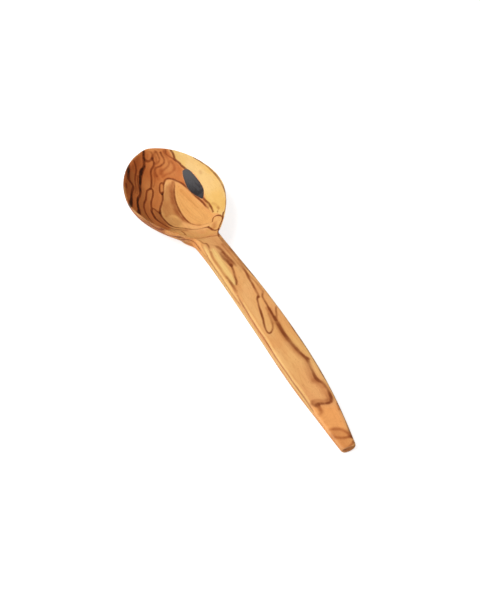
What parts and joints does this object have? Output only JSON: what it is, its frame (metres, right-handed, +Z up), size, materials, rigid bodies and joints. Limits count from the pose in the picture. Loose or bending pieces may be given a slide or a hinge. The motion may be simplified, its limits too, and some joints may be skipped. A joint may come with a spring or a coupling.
{
  "type": "wooden spoon",
  "caption": "Hand-carved wooden spoon with a deep egg-shaped bowl, a flat tapering handle and a resin-filled knot in the bowl's wall.",
  "frame": {"origin": "centre of the footprint, on the table that the spoon lies on", "axes": "+X along the spoon from the bowl's tip to the handle's tail, +Y across it, +Z up out of the bowl"},
  "size_m": [0.2998, 0.0684, 0.0238],
  "materials": {
    "olive_wood": "sanded smooth and oiled, satin, with dark brown figure",
    "knot_resin": "dark slate resin, sanded flush and oiled"
  },
  "bodies": {
    "root": {"spoon_body": "olive_wood", "knot_fill": "knot_resin"}
  },
  "joints": []
}
